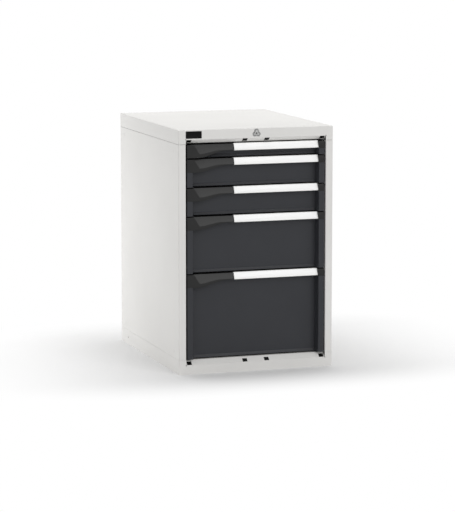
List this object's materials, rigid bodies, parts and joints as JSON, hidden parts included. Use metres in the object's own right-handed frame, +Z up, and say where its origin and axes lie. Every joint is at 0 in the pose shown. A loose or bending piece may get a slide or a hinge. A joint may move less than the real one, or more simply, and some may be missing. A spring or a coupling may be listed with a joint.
{
  "type": "drawer cabinet",
  "caption": "Floor-standing steel workshop cabinet with graded recessed drawers on full-extension roller slides, inclined label handles, side grips and a central lock",
  "frame": {"origin": "on the floor under the middle of the casing", "axes": "+Z up, +X to the right seen from the front, the drawers open towards -Y"},
  "size_m": [0.564, 0.7262, 0.85],
  "materials": {
    "casing_paint": "fine-textured light grey-white powder coat",
    "casing_paint_plastic": "matte plastic in the casing colour",
    "front_paint": "anthracite powder coat",
    "handle_white": "smooth white profile",
    "label_white": "white card behind clear film",
    "grip_black": "fine-grained black moulding",
    "zinc_steel": "zinc-plated sheet",
    "dark_steel": "oiled dark steel",
    "roller_nylon": "turned nylon",
    "lock_chrome": "satin nickel plate",
    "plate_black": "bare black plate"
  },
  "bodies": {
    "casing": {"side_panel_left": "casing_paint", "side_panel_right": "casing_paint", "back_panel": "casing_paint", "base_frame": "casing_paint", "base_sides": "casing_paint", "top_cover": "casing_paint", "uprights": "zinc_steel", "cabinet_rails_left": "zinc_steel", "cabinet_rails_right": "zinc_steel", "side_plugs": "casing_paint_plastic", "name_plate": "plate_black", "lock_housing": "lock_chrome"},
    "lock": {"lock_plug": "lock_chrome", "lock_shaft": "zinc_steel"},
    "lock_bar": {"lock_bar": "zinc_steel"},
    "drawer_1": {"drawer_1_front": "front_paint", "drawer_1_tray": "zinc_steel", "drawer_1_handle": "handle_white", "drawer_1_label": "label_white", "drawer_1_grip": "grip_black", "drawer_1_end_cap": "grip_black", "drawer_1_slide_rails": "zinc_steel"},
    "carriage_1": {"drawer_1_carriages": "dark_steel", "drawer_1_rollers": "roller_nylon"},
    "drawer_2": {"drawer_2_front": "front_paint", "drawer_2_tray": "zinc_steel", "drawer_2_handle": "handle_white", "drawer_2_label": "label_white", "drawer_2_grip": "grip_black", "drawer_2_end_cap": "grip_black", "drawer_2_slide_rails": "zinc_steel"},
    "carriage_2": {"drawer_2_carriages": "dark_steel", "drawer_2_rollers": "roller_nylon"},
    "drawer_3": {"drawer_3_front": "front_paint", "drawer_3_tray": "zinc_steel", "drawer_3_handle": "handle_white", "drawer_3_label": "label_white", "drawer_3_grip": "grip_black", "drawer_3_end_cap": "grip_black", "drawer_3_slide_rails": "zinc_steel"},
    "carriage_3": {"drawer_3_carriages": "dark_steel", "drawer_3_rollers": "roller_nylon"},
    "drawer_4": {"drawer_4_front": "front_paint", "drawer_4_tray": "zinc_steel", "drawer_4_handle": "handle_white", "drawer_4_label": "label_white", "drawer_4_grip": "grip_black", "drawer_4_end_cap": "grip_black", "drawer_4_slide_rails": "zinc_steel"},
    "carriage_4": {"drawer_4_carriages": "dark_steel", "drawer_4_rollers": "roller_nylon"},
    "drawer_5": {"drawer_5_front": "front_paint", "drawer_5_tray": "zinc_steel", "drawer_5_handle": "handle_white", "drawer_5_label": "label_white", "drawer_5_grip": "grip_black", "drawer_5_end_cap": "grip_black", "drawer_5_slide_rails": "zinc_steel"},
    "carriage_5": {"drawer_5_carriages": "dark_steel", "drawer_5_rollers": "roller_nylon"}
  },
  "joints": [
    {"name": "drawer_1_slide", "type": "slide", "parent": "casing", "child": "drawer_1", "axis": [0, -1, 0], "range_m": [0, 0.612]},
    {"name": "carriage_1_slide", "type": "slide", "parent": "casing", "child": "carriage_1", "axis": [0, -1, 0], "range_m": [0, 0.306]},
    {"name": "drawer_2_slide", "type": "slide", "parent": "casing", "child": "drawer_2", "axis": [0, -1, 0], "range_m": [0, 0.612]},
    {"name": "carriage_2_slide", "type": "slide", "parent": "casing", "child": "carriage_2", "axis": [0, -1, 0], "range_m": [0, 0.306]},
    {"name": "drawer_3_slide", "type": "slide", "parent": "casing", "child": "drawer_3", "axis": [0, -1, 0], "range_m": [0, 0.612]},
    {"name": "carriage_3_slide", "type": "slide", "parent": "casing", "child": "carriage_3", "axis": [0, -1, 0], "range_m": [0, 0.306]},
    {"name": "drawer_4_slide", "type": "slide", "parent": "casing", "child": "drawer_4", "axis": [0, -1, 0], "range_m": [0, 0.612]},
    {"name": "carriage_4_slide", "type": "slide", "parent": "casing", "child": "carriage_4", "axis": [0, -1, 0], "range_m": [0, 0.306]},
    {"name": "drawer_5_slide", "type": "slide", "parent": "casing", "child": "drawer_5", "axis": [0, -1, 0], "range_m": [0, 0.612]},
    {"name": "carriage_5_slide", "type": "slide", "parent": "casing", "child": "carriage_5", "axis": [0, -1, 0], "range_m": [0, 0.306]},
    {"name": "lock_turn", "type": "hinge", "parent": "casing", "child": "lock", "pos_m": [0, -0.3625, 0.833], "axis": [0, 1, 0], "range_deg": [0, 90]},
    {"name": "lock_bar_drop", "type": "slide", "parent": "casing", "child": "lock_bar", "axis": [0, 0, -1], "range_m": [0, 0.01202]}
  ],
  "couplings": [
    {"joint": "carriage_1_slide", "follows": "drawer_1_slide", "ratio": 0.5},
    {"joint": "carriage_2_slide", "follows": "drawer_2_slide", "ratio": 0.5},
    {"joint": "carriage_3_slide", "follows": "drawer_3_slide", "ratio": 0.5},
    {"joint": "carriage_4_slide", "follows": "drawer_4_slide", "ratio": 0.5},
    {"joint": "carriage_5_slide", "follows": "drawer_5_slide", "ratio": 0.5},
    {"joint": "lock_turn", "follows": "lock_bar_drop", "rad_per_m": 130.67}
  ]
}
